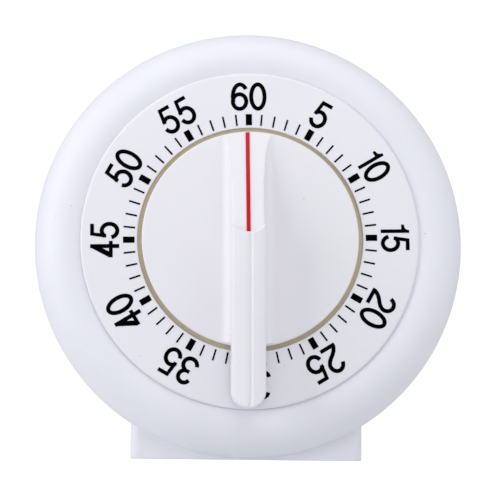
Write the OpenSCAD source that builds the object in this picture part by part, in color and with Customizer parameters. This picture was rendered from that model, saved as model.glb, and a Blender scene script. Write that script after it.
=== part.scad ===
// Wind-up kitchen timer: a round case on a flat foot, a sixty-minute dial, a turn knob with a handle,
// a spring-driven movement between two plates, and a bell struck by a hammer.
// Millimetres, +Z up. The origin is on the table, under the middle of the whole object.
// Each sub-part is drawn with X to the right, Y up and Z towards the user, the dial face at Z = 0
// and the knob's axis at X = Y = 0. in_place() then stands it on its foot, facing -Y.

/* [Case] */
// Outside diameter of the round case
case_d = 95; // [93:1:120]
// Depth of the case from the dial face to its back
case_depth = 38; // [37.5:0.5:50]
// Wall thickness of both case mouldings
wall = 2; // [1.6:0.1:2.2]
// Radius of the rounded front rim
rim_r = 7.6; // [6:0.1:7.7]
// Distance of the rim's crest behind the dial face
rim_drop = 0.25; // [0.2:0.05:0.8]
// Distance of the joint between the two mouldings behind the dial face
split_back = 15; // [13:0.5:17]
// Radius of the case's rear edge
rear_edge_r = 4; // [2.5:0.5:5]
// Length of the rear moulding's lip inside the front one
lip_len = 1.6; // [1:0.1:2.4]
// Thickness of that lip
lip_t = 1.2; // [0.8:0.1:1.5]
// Gap around the lip
lip_gap = 0.1; // [0.05:0.05:0.3]

/* [Foot] */
// Width of the foot
foot_w = 50.7; // [36:0.1:60]
// Distance of the foot's front face behind the dial face
foot_front = 6.5; // [5:0.5:9]
// Distance of the foot's rear face in front of the case's back
foot_rear_inset = 2; // [1:0.5:6]
// Height of the foot's underside below the round case
foot_drop = 0.3; // [0.1:0.1:4]
// Radius of the foot's upright corners
foot_corner_r = 1.8; // [1:0.1:1.9]

/* [Dial] */
// Radius of the raised dial plate
dial_r = 37; // [35:0.1:37.6]
// Thickness of the dial plate
dial_t = 1.4; // [1:0.1:1.8]
// Radius of the dial plate's rounded front edge
dial_edge_r = 0.6; // [0.2:0.1:0.7]
// Gap between the dial plate and its recess
dial_gap = 0.15; // [0.05:0.05:0.3]
// Width of the coloured ring under the knob's edge
ring_w = 3; // [2:0.1:5]
// Thickness of the coloured ring
ring_t = 0.8; // [0.5:0.1:0.9]
// Distance of the minute marks from the plate's inner edge
mark_margin = 0.55; // [0.3:0.05:3]
// Length of each minute mark
mark_len = 2.5; // [1.5:0.1:3]
// Width of each five-minute mark
mark_bold_w = 1.35; // [0.8:0.05:1.6]
// Width of each single-minute mark
mark_thin_w = 0.38; // [0.3:0.02:0.6]
// Thickness of the printed ink
ink_t = 0.05; // [0.03:0.01:0.1]
// Angle by which the print is turned anticlockwise on the dial
print_turn = 1.5; // [0:0.1:3]

/* [Knob] */
// Radius of the knob's disc
knob_r = 23.65; // [22:0.05:24]
// Thickness of the knob's disc
knob_t = 1.2; // [0.9:0.1:1.5]
// Height of the disc's face above the dial
knob_rise = 0.9; // [0.7:0.1:1.5]
// Radius of the disc's rounded edge
knob_edge_r = 0.4; // [0.2:0.1:0.4]
// Gap between the knob's edge and the dial plate
knob_gap = 1; // [0.5:0.05:1.2]
// Width of the handle
handle_w = 7.3; // [6.8:0.1:9]
// Height of the handle above the dial
handle_h = 9.9; // [8.5:0.1:13]
// Distance from the axis to the tip of the handle's tail
tail_len = 36.8; // [30:0.1:37]
// Height of the tail's underside above the dial
tail_lift = 1.2; // [1:0.1:3]
// Distance by which the handle stands to the left of the knob's axis
handle_shift = 0.7; // [0:0.1:0.8]
// Radius of the handle's crowned top
crown_r = 14; // [10:0.5:30]
// Radius of the fillets between handle and disc
fillet_r = 2.4; // [1:0.1:2.6]
// Width of the V groove along the handle's top
groove_w = 1; // [0.3:0.05:1.4]
// Depth of that groove
groove_depth = 0.3; // [0.2:0.05:0.6]
// Distance of the groove to the right of the handle's middle
groove_shift = 0.35; // [0:0.05:0.6]
// Distance from the axis to the step at the top of the pointer's slope
slope_start = 0.3; // [0.3:0.1:4]
// Height of that step
slope_step = 3; // [2:0.1:3.5]
// Distance from the axis at which the pointer starts to widen
flare_start = 13.2; // [12:0.1:18]
// Width of the pointer at the disc's edge
flare_w = 10; // [8:0.1:14]
// Width of the red pointer line
line_w = 0.85; // [0.5:0.05:1.2]
// Depth of the groove that the pointer line fills
line_depth = 0.35; // [0.2:0.05:0.5]
// Height of the pointer line above the slope
line_proud = 0.25; // [0.1:0.05:0.4]
// Radius of the knob's hub
hub_r = 5; // [4:0.1:5.5]
// Angle by which the pointer stands anticlockwise of upright at zero
pointer_turn = 0.7; // [0:0.1:3]

/* [Movement] */
// Distance from the case's front wall to the front plate
movement_gap = 4.6; // [4.2:0.1:6]
// Thickness of the movement's plates
plate_t = 1; // [0.8:0.1:1.2]
// Distance between the plates
plate_gap = 12; // [12:0.1:14]
// Radius of the main arbor
arbor_r = 2; // [1.6:0.1:2.2]
// Radius of the thin arbors
spindle_r = 0.75; // [0.6:0.05:0.8]
// Radius of the pivots at the ends of the thin arbors
pivot_r = 0.45; // [0.35:0.05:0.5]
// Running clearance of every shaft in its hole
running = 0.04; // [0.02:0.01:0.08]
// Module of all the gears
gear_m = 0.4; // [0.34:0.01:0.42]
// Amount by which every tooth is thinner than half the pitch
backlash = 0.05; // [0.03:0.01:0.08]
// Teeth of the main wheel and of the strike barrel
main_teeth = 72; // [66:1:78]
// Teeth of the second and third wheels
train_teeth = 60; // [54:1:62]
// Teeth of the fourth wheel
fourth_teeth = 48; // [42:1:50]
// Radius of the escape wheel
escape_r = 6; // [5:0.1:6.2]
// Gap between the escape wheel and the mainspring
escape_gap = 0.95; // [0.4:0.05:1.2]
// Radius of the balance
balance_r = 7; // [5.5:0.1:7.5]
// Radius of the trip cam
cam_r = 9; // [8.6:0.1:9]
// Thickness of the wheels of the train
wheel_t = 0.8; // [0.5:0.1:0.8]
// Outer radius of the mainspring
spring_r = 11.2; // [9:0.1:11.3]
// Thickness of the spring strip
strip_t = 0.4; // [0.3:0.05:0.5]

/* [Strike] */
// Outside radius of the bell
bell_r = 29; // [28.8:0.1:31]
// Thickness of the bell's wall
bell_t = 1.2; // [0.8:0.1:1.4]
// Depth of the bell
bell_depth = 9; // [8.5:0.1:9.5]
// Radius of the bell's shoulder
bell_shoulder_r = 7; // [4:0.5:7]
// Radius of the star wheel
star_r = 5; // [4:0.1:5]
// Radius of the hammer's head
head_r = 2.2; // [1.6:0.1:2.4]
// Gap between the hammer's head and the bell at rest
hammer_throw = 1.9; // [1.8:0.1:2.6]

/* [Hidden] */
$fn = 96;
case_r = case_d / 2;
axis_h = case_r + foot_drop;
dial_y = -(case_depth - handle_h) / 2;
in_r = case_r - wall;
rim_c = case_r - rim_r;
rim_z = -(rim_drop + rim_r);
split_z = -split_back;
back_z = -case_depth;
rear_in_z = back_z + wall;
edge_c = case_r - rear_edge_r;
edge_z = back_z + rear_edge_r;
foot_rear = case_depth - foot_rear_inset;
foot_hw = foot_w / 2;
foot_top_y = -sqrt(pow(case_r - wall / 2, 2) - pow(foot_hw, 2));
seat_z = -dial_t;
wall_z = seat_z - wall;
wall_hole_r = arbor_r + 1.2;
dial_in_r = knob_r + knob_gap;
mark_r = dial_in_r + mark_margin;
ring_top_z = seat_z + ring_t;
knob_under_z = knob_rise - knob_t;
hub_end_z = seat_z + 0.2;
slope_top_z = handle_h - slope_step;
slope_end_y = knob_r - 0.2;
slope_run = slope_end_y - slope_start;
slope_angle = atan2(slope_top_z - knob_rise, slope_run);
slope_len = slope_run / cos(slope_angle);
socket_top_z = slope_top_z - 1.4;
pocket_hw = handle_w / 2 - 1.5;
flat_x = arbor_r * 0.75;

// Heights of the plates and wheels.
front_z = wall_z - movement_gap;
front_back_z = front_z - plate_t;
rear_z = front_back_z - plate_gap;
rear_back_z = rear_z - plate_t;
spring_top_z = front_back_z - 0.6;
spring_low_z = spring_top_z - 3.8;
escape_z = front_back_z - 2;
main_z = front_back_z - 5.2;
main_t = 1;
second_z = main_z - main_t - 0.8;
third_z = second_z - 1.6;
fourth_z = third_z - 1.6;
balance_z = second_z - 0.6;
barrel_z = rear_back_z - 0.8;
barrel_low_z = barrel_z - 5.8;
star_z = barrel_z - 1.8;
arm_z = barrel_z - 3.6;
arbor_low_z = barrel_low_z - 1;
bell_mouth_z = barrel_z - 2.8;
bell_crown_z = bell_mouth_z - bell_depth;
cam_z = wall_z - 1;
cam_t = 1.2;
lever_t = 1;

// Gear sizes. Pinions all have twelve leaves.
leaves = 12;
pressure = 25;
addendum = 0.9 * gear_m;
dedendum = 1.25 * gear_m;
leaf_tip_r = gear_m * leaves / 2 + addendum;

// Directions, in degrees from +X, in which each arbor lies from the one before.
second_dir = 200;
third_dir = 95;
fourth_dir = 35;
balance_dir = -12;
strike_dir = -30;
hammer_dir = -80;

// Centres of the arbors.
main_mesh = gear_m * (main_teeth + leaves) / 2;
train_mesh = gear_m * (train_teeth + leaves) / 2;
fourth_mesh = gear_m * (fourth_teeth + leaves) / 2;
pallet_gap = escape_r + 3.5;
hammer_gap = star_r + 2.5;
second_at = along([0, 0], second_dir, main_mesh);
third_at = along(second_at, third_dir, train_mesh);
fourth_at = along(third_at, fourth_dir, train_mesh);
// The escape arbor meshes with the fourth wheel and keeps its own wheel clear of the mainspring.
escape_reach = spring_r + escape_r + escape_gap;
fourth_reach = norm(fourth_at);
reach_squares = pow(fourth_reach, 2) + pow(escape_reach, 2) - pow(fourth_mesh, 2);
reach_cos = reach_squares / (2 * fourth_reach * escape_reach);
escape_at = along([0, 0], atan2(fourth_at[1], fourth_at[0]) - acos(reach_cos), escape_reach);
escape_dir = atan2(escape_at[1] - fourth_at[1], escape_at[0] - fourth_at[0]);
balance_at = along(escape_at, balance_dir, pallet_gap);
strike_at = along([0, 0], strike_dir, main_mesh);
hammer_at = along(strike_at, hammer_dir, hammer_gap);
head_at = along([0, 0], 265, bell_r - bell_t - head_r - hammer_throw);
drum_r = main_mesh - star_r - 0.6;
drum_t = 0.8;

// Angle of each pinion on its arbor, so that its leaves lie in the gaps of the wheel it meshes with.
second_turn = mesh_turn(main_teeth, 0, second_dir);
third_turn = mesh_turn(train_teeth, second_turn, third_dir);
fourth_turn = mesh_turn(train_teeth, third_turn, fourth_dir);
escape_turn = mesh_turn(fourth_teeth, fourth_turn, escape_dir);
strike_turn = mesh_turn(main_teeth, 0, strike_dir);

// Fixings.
case_screw_c = case_r - 8;
case_screw_dirs = [90, 210, 330];
case_screw_r = 1.2;
case_head_r = 2.9;
case_boss_r = 2.8;
case_head_h = 2.2;
case_floor_z = split_z - 1.2;
movement_screw_c = 32.5;
movement_screw_dirs = [20, 140, 260];
movement_screw_r = 0.9;
movement_boss_r = 2.6;
movement_head_r = 2;
front_plate_r = 36;
rear_plate_r = 33;
pillar_r = 2;
pillar_screw_r = 0.8;
pillar_head_r = 1.9;
head_h = 1.2;
tenon_r = 1;
pillars_at = [[27, 4], [6, -28], [-20, -20], [-17, 25]];
post_at = along([0, 0], 250, spring_r + 1.3);
stud_r = 1.2;
stud_at = [-12, -cam_r - 4];
bar_y = stud_at[1] - 0.2;
bar_hw = 0.9;
nose_y = -cam_r - 0.3;
detent_hw = 0.8;
detent_hub_r = 1.7;
lever_end_gap = 0.2;
bell_screw_r = 1.2;
bell_head_r = 2.4;
bell_washer_r = 3.4;
bell_washer_t = 0.5;
bell_boss_r = 4;

// Sound slots in the back, in two groups.
slot_hl = 12;
slot_hw = 0.8;
slot_first = 11;
slot_step = 4;
slots = 3;

// ---- helpers ----

function along(p, dir, d) = [p[0] + d * cos(dir), p[1] + d * sin(dir)];

// Angle of a pinion that meshes with a wheel of n teeth turned by a, lying in direction dir from it.
function mesh_turn(n, a, dir) = dir + 180 - (0.5 - (dir - a) * n / 360) * 360 / leaves;

function involute(a) = tan(a) * 180 / PI - a;

// Half of the angle that one tooth covers at radius r, in degrees.
function half_tooth(n, r) =
  let (pitch_r = gear_m * n / 2)
  let (base_r = pitch_r * cos(pressure))
  90 / n - backlash / 2 / pitch_r * 180 / PI + involute(pressure) - involute(acos(min(1, base_r / r)));

function tooth_side(n, radii, i, s) =
  [for (r = radii) r * [cos(i * 360 / n + s * half_tooth(n, r)), sin(i * 360 / n + s * half_tooth(n, r))]];

function backwards(list) = [for (i = [len(list) - 1:-1:0]) list[i]];

function gear_points(n, radii) =
  [for (i = [0:n - 1]) each concat(tooth_side(n, radii, i, -1), backwards(tooth_side(n, radii, i, 1)))];

function coil_side(r0, r1, turns, extra) =
  [for (i = [0:24 * turns]) (r0 + (r1 - r0) * i / (24 * turns) + extra) * [cos(i * 15), sin(i * 15)]];

module in_place() {
  translate([0, dial_y, axis_h])
    rotate([90, 0, 0])
      children();
}

module at(p) {
  translate([p[0], p[1], 0])
    children();
}

module at_dirs(c, dirs) {
  for (dir = dirs)
    rotate([0, 0, dir])
      translate([c, 0, 0])
        children();
}

module rod(r, hi, lo) {
  translate([0, 0, lo])
    cylinder(r = r, h = hi - lo);
}

module tube(r_out, r_in, hi, lo) {
  difference() {
    rod(r_out, hi, lo);
    rod(r_in, hi + 1, lo - 1);
  }
}

module block(x0, x1, y0, y1, z0, z1) {
  translate([x0, y0, z0])
    cube([x1 - x0, y1 - y0, z1 - z0]);
}

module slab(hi, lo) {
  translate([0, 0, lo])
    linear_extrude(hi - lo)
      children();
}

module wheel_2d(n) {
  pitch_r = gear_m * n / 2;
  polygon(gear_points(n, [pitch_r - dedendum, pitch_r, pitch_r + addendum]));
}

module pinion_2d() {
  pitch_r = gear_m * leaves / 2;
  polygon(gear_points(leaves, [pitch_r - dedendum, pitch_r * cos(pressure), pitch_r, leaf_tip_r]));
}

// A wheel with round windows and a bore, its front face at hi.
module wheel(n, hi, t, bore, windows) {
  pitch_r = gear_m * n / 2;
  window_r = pitch_r * 0.2;
  slab(hi, hi - t)
    difference() {
      wheel_2d(n);
      circle(r = bore);
      at_dirs(pitch_r * 0.6, [for (i = [0:windows - 1]) i * 360 / windows])
        circle(r = window_r);
    }
}

// An arbor between the plates, with pivots in both and leaves from leaf_hi to leaf_lo.
module pinion_arbor(leaf_hi, leaf_lo) {
  rod(spindle_r, front_back_z - 0.1, rear_z + 0.1);
  rod(pivot_r, front_z - 0.1, rear_back_z + 0.1);
  slab(leaf_hi, leaf_lo)
    pinion_2d();
}

module coil(r0, r1, turns, hi, lo) {
  slab(hi, lo)
    polygon(concat(coil_side(r0, r1, turns, strip_t / 2), backwards(coil_side(r0, r1, turns, -strip_t / 2))));
}

module screw_slot(r, head_low) {
  block(-r, r, -0.25, 0.25, head_low - 0.1, head_low + 0.6);
}

// ---- case ----

module rounded_rect(x0, x1, y0, y1, r) {
  translate([x0 + r, y0])
    square([x1 - x0 - 2 * r, y1 - y0]);
  translate([x0, y0 + r])
    square([x1 - x0, y1 - y0 - 2 * r]);
  for (x = [x0 + r, x1 - r])
    for (y = [y0 + r, y1 - r])
      translate([x, y])
        circle(r = r);
}

// The foot as an upright block with rounded corners.
module foot_outer() {
  translate([0, -axis_h, 0])
    rotate([-90, 0, 0])
      linear_extrude(axis_h + foot_top_y)
        rounded_rect(-foot_hw, foot_hw, foot_front, foot_rear, foot_corner_r);
}

module foot_inner() {
  block(wall - foot_hw, foot_hw - wall, wall - axis_h, foot_top_y + 0.4, wall - foot_rear, -foot_front - wall);
}

module front_outer_2d() {
  translate([rim_c, rim_z])
    circle(r = rim_r);
  translate([0, split_z])
    square([case_r, rim_z - split_z]);
  translate([0, split_z])
    square([rim_c, seat_z - split_z]);
}

module front_cavity_2d() {
  translate([0, split_z - 1])
    square([in_r, rim_z - split_z + 1]);
  translate([0, split_z - 1])
    square([rim_c, wall_z - split_z + 1]);
  intersection() {
    translate([rim_c, rim_z])
      circle(r = rim_r - wall);
    translate([0, split_z])
      square([case_r, wall_z - split_z]);
  }
}

module below_split() {
  block(-case_d, case_d, -case_d, case_d, split_z - case_depth, split_z);
}

module above_split() {
  block(-case_d, case_d, -case_d, case_d, split_z, split_z + case_depth);
}

module front_housing_shape() {
  difference() {
    union() {
      difference() {
        union() {
          rotate_extrude()
            intersection() {
              front_outer_2d();
              translate([0, split_z])
                square([case_d, case_depth]);
            }
          intersection() {
            foot_outer();
            above_split();
          }
        }
        rotate_extrude()
          front_cavity_2d();
        foot_inner();
      }
      at_dirs(movement_screw_c, movement_screw_dirs)
        rod(movement_boss_r, wall_z + wall / 2, front_z);
      at_dirs(case_screw_c, case_screw_dirs)
        rod(case_boss_r, wall_z + wall / 2, case_floor_z + 0.2);
    }
    rod(dial_r + dial_gap, 1, seat_z);
    rod(wall_hole_r, 1, wall_z - 1);
    at_dirs(movement_screw_c, movement_screw_dirs)
      rod(movement_screw_r, front_z + 3.2, front_z - 1);
    at_dirs(case_screw_c, case_screw_dirs)
      rod(case_screw_r, wall_z - 3, case_floor_z - 1);
  }
}

module rear_outer_2d() {
  translate([0, edge_z])
    square([case_r, split_z - edge_z]);
  translate([0, back_z])
    square([edge_c, split_z - back_z]);
  translate([edge_c, edge_z])
    circle(r = rear_edge_r);
}

module rear_cavity_2d() {
  translate([0, edge_z])
    square([in_r, split_z - edge_z + 1]);
  translate([0, rear_in_z])
    square([edge_c, split_z - rear_in_z + 1]);
  translate([edge_c, edge_z])
    circle(r = rear_edge_r - wall);
}

module rear_housing_shape() {
  difference() {
    union() {
      difference() {
        union() {
          rotate_extrude()
            rear_outer_2d();
          intersection() {
            foot_outer();
            below_split();
          }
        }
        rotate_extrude()
          rear_cavity_2d();
        foot_inner();
      }
      tube(in_r - lip_gap, in_r - lip_gap - lip_t, split_z + lip_len, split_z);
      tube(in_r + 0.1, in_r - lip_gap - lip_t, split_z, split_z - 2.5);
      at_dirs(case_screw_c, case_screw_dirs)
        rod(case_head_r + 1, case_floor_z, rear_in_z - wall / 2);
      rod(bell_boss_r, bell_crown_z, rear_in_z - wall / 2);
    }
    at_dirs(case_screw_c, case_screw_dirs) {
      rod(case_head_r + 0.2, case_floor_z - wall, back_z - 1);
      rod(case_screw_r + 0.3, case_floor_z + 1, back_z - 1);
    }
    rod(bell_screw_r, bell_crown_z + 1, rear_in_z - 0.6);
    for (side = [-1, 1])
      for (row = [0:slots - 1])
        translate([0, side * (slot_first + slot_step * row), 0])
          block(-slot_hl, slot_hl, -slot_hw, slot_hw, back_z - 1, rear_in_z + 1);
  }
}

module front_housing() {
  color([0.93, 0.92, 0.94])
    in_place()
      front_housing_shape();
}

module rear_housing() {
  color([0.9, 0.89, 0.91])
    in_place()
      rear_housing_shape();
}

module dial_plate() {
  color([0.93, 0.93, 0.95])
    in_place()
      rotate_extrude() {
        translate([dial_in_r, seat_z])
          square([dial_r - dial_edge_r - dial_in_r, dial_t]);
        translate([dial_in_r, seat_z])
          square([dial_r - dial_in_r, dial_t - dial_edge_r]);
        translate([dial_r - dial_edge_r, -dial_edge_r])
          circle(r = dial_edge_r);
      }
}

module minute_marks() {
  color([0.1, 0.1, 0.1])
    in_place()
      for (i = [0:59]) {
        w = i % 5 == 0 ? mark_bold_w : mark_thin_w;
        rotate([0, 0, print_turn + i * 6])
          block(mark_r, mark_r + mark_len, -w / 2, w / 2, 0, ink_t);
      }
}

module dial_ring() {
  color([0.7, 0.65, 0.53])
    in_place()
      tube(dial_in_r, dial_in_r - ring_w, ring_top_z, seat_z);
}

module case_screws() {
  head_z = case_floor_z - wall;
  color([0.6, 0.6, 0.62])
    in_place()
      at_dirs(case_screw_c, case_screw_dirs)
        difference() {
          union() {
            rod(case_screw_r, case_floor_z + 6, head_z);
            rod(case_head_r, head_z, head_z - case_head_h);
          }
          block(-1.6, 1.6, -0.35, 0.35, head_z - 3, head_z - 1);
          block(-0.35, 0.35, -1.6, 1.6, head_z - 3, head_z - 1);
        }
}

// ---- movement frame ----

module spindle_holes(hi, lo) {
  for (p = [second_at, third_at, fourth_at, escape_at, balance_at])
    at(p)
      rod(pivot_r + running, hi, lo);
  for (p = [strike_at, hammer_at])
    at(p)
      rod(spindle_r + running, hi, lo);
  rod(arbor_r + running, hi, lo);
}

module front_plate() {
  color([0.75, 0.62, 0.35])
    in_place()
      difference() {
        rod(front_plate_r, front_z, front_back_z);
        spindle_holes(front_z + 1, front_back_z - 1);
        at_dirs(movement_screw_c, movement_screw_dirs)
          rod(movement_screw_r + 0.1, front_z + 1, front_back_z - 1);
        for (p = pillars_at)
          at(p)
            rod(tenon_r, front_z + 1, front_back_z - 1);
        at(post_at)
          rod(tenon_r, front_z + 1, front_back_z - 1);
        at(stud_at)
          rod(tenon_r, front_z + 1, front_back_z - 1);
        at([25, -12])
          rod(4, front_z + 1, front_back_z - 1);
        at([3, 28])
          rod(4, front_z + 1, front_back_z - 1);
      }
}

module rear_plate() {
  color([0.75, 0.62, 0.35])
    in_place()
      difference() {
        rod(rear_plate_r, rear_z, rear_back_z);
        spindle_holes(rear_z + 1, rear_back_z - 1);
        for (p = pillars_at)
          at(p)
            rod(pillar_screw_r, rear_z + 1, rear_back_z - 1);
        at([3, 27])
          rod(3.5, rear_z + 1, rear_back_z - 1);
      }
}

module plate_pillars() {
  color([0.78, 0.78, 0.8])
    in_place()
      for (p = pillars_at)
        at(p)
          difference() {
            union() {
              rod(pillar_r, front_back_z, rear_z);
              rod(tenon_r, front_z, front_back_z);
            }
            rod(pillar_screw_r, rear_z + 4, rear_z - 1);
          }
}

module pillar_screws() {
  color([0.6, 0.6, 0.62])
    in_place()
      for (p = pillars_at)
        at(p)
          difference() {
            union() {
              rod(pillar_screw_r, rear_z + 3.6, rear_back_z);
              rod(pillar_head_r, rear_back_z, rear_back_z - head_h);
            }
            screw_slot(pillar_head_r + 0.1, rear_back_z - head_h);
          }
}

module movement_screws() {
  color([0.6, 0.6, 0.62])
    in_place()
      at_dirs(movement_screw_c, movement_screw_dirs)
        difference() {
          union() {
            rod(movement_screw_r, front_z + 3, front_back_z);
            rod(movement_head_r, front_back_z, front_back_z - head_h);
          }
          screw_slot(movement_head_r + 0.1, front_back_z - head_h);
        }
}

module mainspring() {
  color([0.45, 0.47, 0.52])
    in_place()
      coil(arbor_r + 0.4, spring_r - strip_t, 6, spring_top_z, spring_low_z);
}

module spring_post() {
  color([0.78, 0.78, 0.8])
    in_place()
      at(post_at)
        rod(tenon_r, front_z, spring_low_z);
}

module bell() {
  shoulder_c = bell_r - bell_shoulder_r;
  shoulder_z = bell_crown_z + bell_shoulder_r;
  color([0.8, 0.8, 0.82])
    in_place()
      difference() {
        rotate_extrude()
          difference() {
            union() {
              translate([0, bell_crown_z])
                square([shoulder_c, bell_depth]);
              translate([0, shoulder_z])
                square([bell_r, bell_mouth_z - shoulder_z]);
              translate([shoulder_c, shoulder_z])
                circle(r = bell_shoulder_r);
            }
            translate([0, bell_crown_z + bell_t])
              square([shoulder_c, bell_depth]);
            translate([0, shoulder_z])
              square([bell_r - bell_t, bell_depth]);
            translate([shoulder_c, shoulder_z])
              circle(r = bell_shoulder_r - bell_t);
          }
        rod(bell_screw_r + 0.2, bell_mouth_z, bell_crown_z - 1);
      }
}

module bell_washer() {
  color([0.6, 0.6, 0.62])
    in_place()
      tube(bell_washer_r, bell_screw_r + 0.1, bell_crown_z + bell_t + bell_washer_t, bell_crown_z + bell_t);
}

module bell_screw() {
  head_z = bell_crown_z + bell_t + bell_washer_t;
  color([0.6, 0.6, 0.62])
    in_place()
      difference() {
        union() {
          rod(bell_screw_r, head_z, rear_in_z - 0.4);
          rod(bell_head_r, head_z + head_h, head_z);
        }
        block(-bell_head_r - 0.1, bell_head_r + 0.1, -0.3, 0.3, head_z + head_h - 0.5, head_z + head_h + 1);
      }
}

module lever_stud() {
  color([0.78, 0.78, 0.8])
    in_place()
      at(stud_at) {
        rod(tenon_r, front_z, front_back_z);
        rod(2, cam_z - lever_t - 0.2, front_z);
        rod(stud_r, cam_z + 0.2, front_z);
      }
}

module lever_spring() {
  color([0.5, 0.52, 0.56])
    in_place() {
      block(-6, -3, bar_y - 6, bar_y - 4.4, front_z, cam_z - 0.2);
      slab(cam_z - 0.2, cam_z - 0.8)
        polygon([[-3.5, bar_y - 4.6], [5, bar_y - 1.6], [5, bar_y - 1.25], [-3.6, bar_y - 4.25],
          [-4, bar_y - 4.6]]);
    }
}

// ---- knob and main arbor ----

module shaft_2d(r) {
  intersection() {
    circle(r = r);
    translate([-r, -r])
      square([flat_x + r, 2 * r]);
  }
}

module knob_disc() {
  rotate_extrude() {
    translate([0, knob_under_z])
      square([knob_r - knob_edge_r, knob_t]);
    translate([0, knob_under_z])
      square([knob_r, knob_t - knob_edge_r]);
    translate([knob_r - knob_edge_r, knob_rise - knob_edge_r])
      circle(r = knob_edge_r);
  }
}

// The handle seen from the side, drawn with the distance from the axis first and the height second.
module handle_side_2d() {
  low = knob_rise - knob_t / 2;
  tail_root = -(knob_r - 1);
  polygon([[-tail_len, tail_lift], [tail_root, tail_lift], [tail_root, low], [slope_end_y, low],
    [slope_end_y, knob_rise], [slope_start, slope_top_z], [slope_start - 0.3, handle_h], [-tail_len, handle_h]]);
}

module handle_plan_2d() {
  hw = handle_w / 2;
  fw = flare_w / 2;
  translate([0, hw - tail_len])
    circle(r = hw);
  polygon([[-hw, hw - tail_len], [hw, hw - tail_len], [hw, flare_start], [fw, knob_r - 2], [fw, knob_r],
    [-fw, knob_r], [-fw, knob_r - 2], [-hw, flare_start]]);
}

module handle() {
  intersection() {
    translate([-knob_r, 0, 0])
      rotate([90, 0, 90])
        linear_extrude(2 * knob_r)
          handle_side_2d();
    linear_extrude(handle_h + 1)
      handle_plan_2d();
    translate([0, tail_len + knob_r, handle_h - crown_r])
      rotate([90, 0, 0])
        cylinder(r = crown_r, h = 2 * (tail_len + knob_r));
  }
}

module fillets() {
  hw = handle_w / 2;
  run_back = knob_r - 1.4;
  for (side = [0, 1])
    mirror([side, 0, 0])
      translate([0, flare_start, 0])
        rotate([90, 0, 0])
          linear_extrude(flare_start + run_back)
            difference() {
              translate([hw - 0.5, knob_rise - 0.2])
                square([fillet_r + 0.5, fillet_r + 0.2]);
              translate([hw + fillet_r, knob_rise + fillet_r])
                circle(r = fillet_r);
            }
}

module pointer_bar(proud) {
  translate([-handle_shift, slope_start, slope_top_z])
    rotate([-slope_angle, 0, 0])
      block(-line_w / 2, line_w / 2, 0.3, slope_len - 0.3, -line_depth, proud);
}

module knob() {
  color([0.93, 0.93, 0.95])
    in_place()
      rotate([0, 0, pointer_turn])
        difference() {
          union() {
            knob_disc();
            translate([-handle_shift, 0, 0]) {
              handle();
              fillets();
            }
            rod(hub_r, knob_rise, hub_end_z);
          }
          slab(socket_top_z, hub_end_z - 1)
            shaft_2d(arbor_r);
          translate([-handle_shift, 0, 0])
            block(-pocket_hw, pocket_hw, 2 - knob_r, -hub_r - 1, knob_under_z - 1, handle_h - 1.8);
          translate([groove_shift - handle_shift, slope_start, handle_h])
            rotate([90, 0, 0])
              linear_extrude(slope_start + tail_len + 1)
                polygon([[-groove_w / 2, 1], [-groove_w / 2, 0], [0, -groove_depth], [groove_w / 2, 0],
                  [groove_w / 2, 1]]);
          pointer_bar(1);
        }
}

module pointer_line() {
  color([0.75, 0.12, 0.1])
    in_place()
      rotate([0, 0, pointer_turn])
        pointer_bar(line_proud);
}

module knob_clip() {
  color([0.6, 0.6, 0.62])
    in_place()
      difference() {
        tube(arbor_r + 1.8, arbor_r, wall_z - 0.2, wall_z - 0.8);
        block(-0.8, 0.8, 0, arbor_r + 3, wall_z - 1, wall_z);
      }
}

module main_arbor() {
  color([0.78, 0.78, 0.8])
    in_place()
      difference() {
        rod(arbor_r, socket_top_z - 0.1, arbor_low_z);
        rotate([0, 0, pointer_turn])
          block(flat_x, arbor_r + 1, -arbor_r - 1, arbor_r + 1, hub_end_z, socket_top_z + 1);
      }
}

module main_wheel() {
  color([0.82, 0.68, 0.35])
    in_place()
      wheel(main_teeth, main_z, main_t, arbor_r, 6);
}

module clutch_collar() {
  color([0.78, 0.78, 0.8])
    in_place()
      tube(arbor_r + 2, arbor_r, main_z + 0.6, main_z);
}

module clutch_washer() {
  color([0.82, 0.68, 0.35])
    in_place()
      tube(arbor_r + 1.8, arbor_r, main_z - main_t, main_z - main_t - 0.5);
}

module trip_cam() {
  color([0.78, 0.78, 0.8])
    in_place()
      difference() {
        tube(cam_r, arbor_r, cam_z, cam_z - cam_t);
        block(-4, 4, -cam_r - 1, 2.4 - cam_r, cam_z - cam_t - 1, cam_z + 1);
      }
}

// ---- going train ----

module second_pinion() {
  color([0.7, 0.7, 0.73])
    in_place()
      at(second_at)
        rotate([0, 0, second_turn])
          pinion_arbor(main_z + 0.4, second_z);
}

module second_wheel() {
  color([0.82, 0.68, 0.35])
    in_place()
      at(second_at)
        rotate([0, 0, second_turn])
          wheel(train_teeth, second_z, wheel_t, spindle_r, 5);
}

module third_pinion() {
  color([0.7, 0.7, 0.73])
    in_place()
      at(third_at)
        rotate([0, 0, third_turn])
          pinion_arbor(second_z + 0.3, third_z);
}

module third_wheel() {
  color([0.82, 0.68, 0.35])
    in_place()
      at(third_at)
        rotate([0, 0, third_turn])
          wheel(train_teeth, third_z, wheel_t, spindle_r, 5);
}

module fourth_pinion() {
  color([0.7, 0.7, 0.73])
    in_place()
      at(fourth_at)
        rotate([0, 0, fourth_turn])
          pinion_arbor(third_z + 0.3, fourth_z);
}

module fourth_wheel() {
  color([0.82, 0.68, 0.35])
    in_place()
      at(fourth_at)
        rotate([0, 0, fourth_turn])
          wheel(fourth_teeth, fourth_z, wheel_t, spindle_r, 5);
}

module escape_pinion() {
  color([0.7, 0.7, 0.73])
    in_place()
      at(escape_at)
        rotate([0, 0, escape_turn])
          pinion_arbor(fourth_z + 0.3, fourth_z - wheel_t - 0.3);
}

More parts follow.
